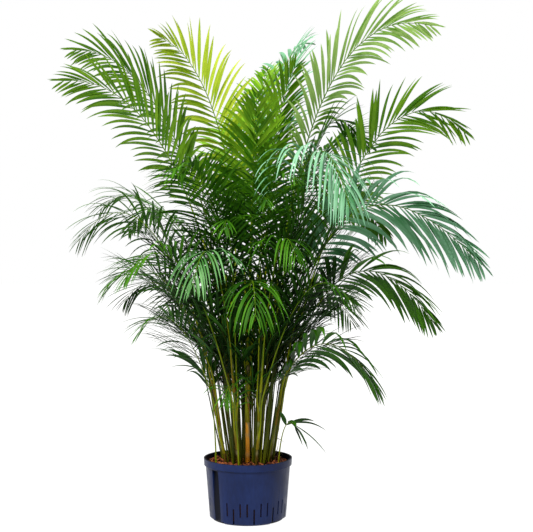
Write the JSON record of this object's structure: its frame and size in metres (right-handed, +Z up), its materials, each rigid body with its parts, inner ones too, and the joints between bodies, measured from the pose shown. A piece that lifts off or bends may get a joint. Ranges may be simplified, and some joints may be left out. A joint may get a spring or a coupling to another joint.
{
  "type": "potted palm",
  "caption": "Tall bushy areca palm with arching feather fronds on a clump of slim canes, in a round slotted hydroculture grow pot filled with clay granules.",
  "frame": {"origin": "middle of the pot's flat underside, on the surface that it stands on", "axes": "+Z up along the plant, -Y towards the side that the plant is seen from, +X to the right of it"},
  "size_m": [1.3789, 1.2492, 1.6664],
  "materials": {
    "pot_plastic": "dark blue moulded polypropylene with a slight sheen",
    "fired_clay": "rough red-brown expanded clay granules",
    "green_cane": "smooth olive-green living cane with ring scars",
    "golden_cane": "smooth golden-orange living cane",
    "palm_leaf": "satin green leaf, yellow-green at the top and darker inside"
  },
  "bodies": {
    "root": {"cane_01": "green_cane", "cane_01_frond_1": "palm_leaf", "cane_01_frond_2": "palm_leaf", "cane_01_frond_3": "palm_leaf", "cane_01_frond_4": "palm_leaf", "cane_02": "golden_cane", "cane_02_frond_1": "palm_leaf", "cane_02_frond_2": "palm_leaf", "cane_02_frond_3": "palm_leaf", "cane_03": "green_cane", "cane_03_frond_1": "palm_leaf", "cane_03_frond_2": "palm_leaf", "cane_03_frond_3": "palm_leaf", "cane_04": "green_cane", "cane_04_frond_1": "palm_leaf", "cane_04_frond_2": "palm_leaf", "cane_04_frond_3": "palm_leaf", "cane_05": "green_cane", "cane_05_frond_1": "palm_leaf", "cane_05_frond_2": "palm_leaf", "cane_05_frond_3": "palm_leaf", "cane_06": "green_cane", "cane_06_frond_1": "palm_leaf", "cane_06_frond_2": "palm_leaf", "cane_06_frond_3": "palm_leaf", "cane_07": "green_cane", "cane_07_frond_1": "palm_leaf", "cane_07_frond_2": "palm_leaf", "cane_07_frond_3": "palm_leaf", "cane_08": "green_cane", "cane_08_frond_1": "palm_leaf", "cane_08_frond_2": "palm_leaf", "cane_08_frond_3": "palm_leaf", "cane_09": "green_cane", "cane_09_frond_1": "palm_leaf", "cane_09_frond_2": "palm_leaf", "cane_09_frond_3": "palm_leaf", "cane_10": "green_cane", "cane_10_frond_1": "palm_leaf", "cane_10_frond_2": "palm_leaf", "cane_11": "green_cane", "cane_11_frond_1": "palm_leaf", "cane_11_frond_2": "palm_leaf", "cane_12": "green_cane", "cane_12_frond_1": "palm_leaf", "cane_12_frond_2": "palm_leaf", "cane_13": "green_cane", "cane_13_frond_1": "palm_leaf", "cane_13_frond_2": "palm_leaf", "cane_14": "green_cane", "cane_14_frond_1": "palm_leaf", "cane_14_frond_2": "palm_leaf", "cane_15": "green_cane", "cane_15_frond_1": "palm_leaf", "cane_15_frond_2": "palm_leaf", "clay_granules": "fired_clay", "pot": "pot_plastic", "young_shoot_1": "palm_leaf", "young_shoot_2": "palm_leaf", "young_shoot_3": "palm_leaf"}
  },
  "joints": []
}
